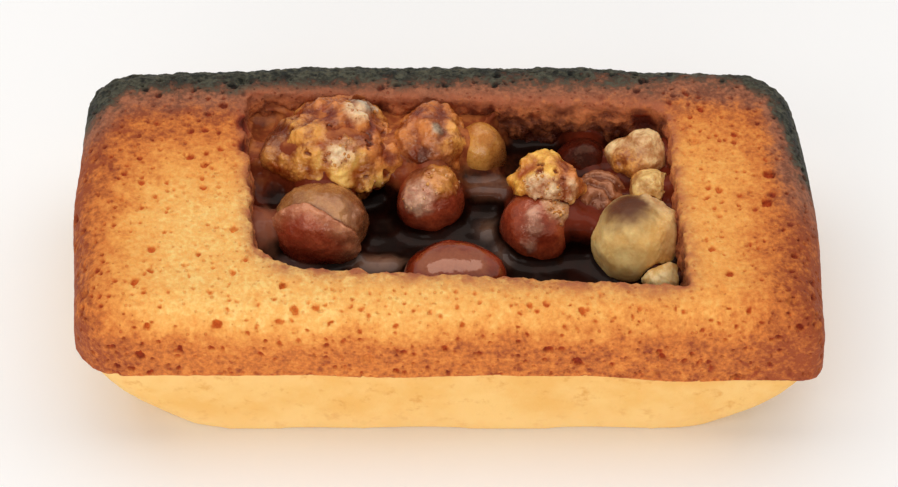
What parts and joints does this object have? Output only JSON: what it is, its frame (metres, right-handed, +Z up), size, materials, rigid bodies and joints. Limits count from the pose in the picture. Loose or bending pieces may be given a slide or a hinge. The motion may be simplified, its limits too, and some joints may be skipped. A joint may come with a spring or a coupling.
{
  "type": "financier cake",
  "caption": "Oblong financier cake with a browned crust over a paler tapered foot, and a hollow in the top filled with caramel and caramelised nuts.",
  "frame": {"origin": "middle of the cake's length and width, on the surface that it stands on", "axes": "+X along the cake to the right, -Y towards its front, +Z up"},
  "size_m": [0.1018, 0.052, 0.0282],
  "materials": {
    "cake": "matt, porous baked crust",
    "caramel": "glossy, sticky",
    "hazelnut": "glossy caramel glaze",
    "split_hazelnut": "glazed skin, broken on one side",
    "blanched_nut": "satin, thinly glazed",
    "almond": "satin",
    "praline": "craggy, partly glazed",
    "chopped_nut": "craggy, partly glazed"
  },
  "bodies": {
    "root": {"cake": "cake", "caramel": "caramel", "hazelnut_front": "hazelnut", "hazelnut_split": "split_hazelnut", "hazelnut_right": "hazelnut", "blanched_nut": "blanched_nut", "hazelnut_centre": "hazelnut", "hazelnut_side": "hazelnut", "hazelnut_back": "hazelnut", "almond": "almond", "praline_left": "praline", "praline_centre": "praline", "praline_right": "praline", "nut_piece": "chopped_nut", "nut_chip": "chopped_nut", "nut_flake": "chopped_nut"}
  },
  "joints": []
}
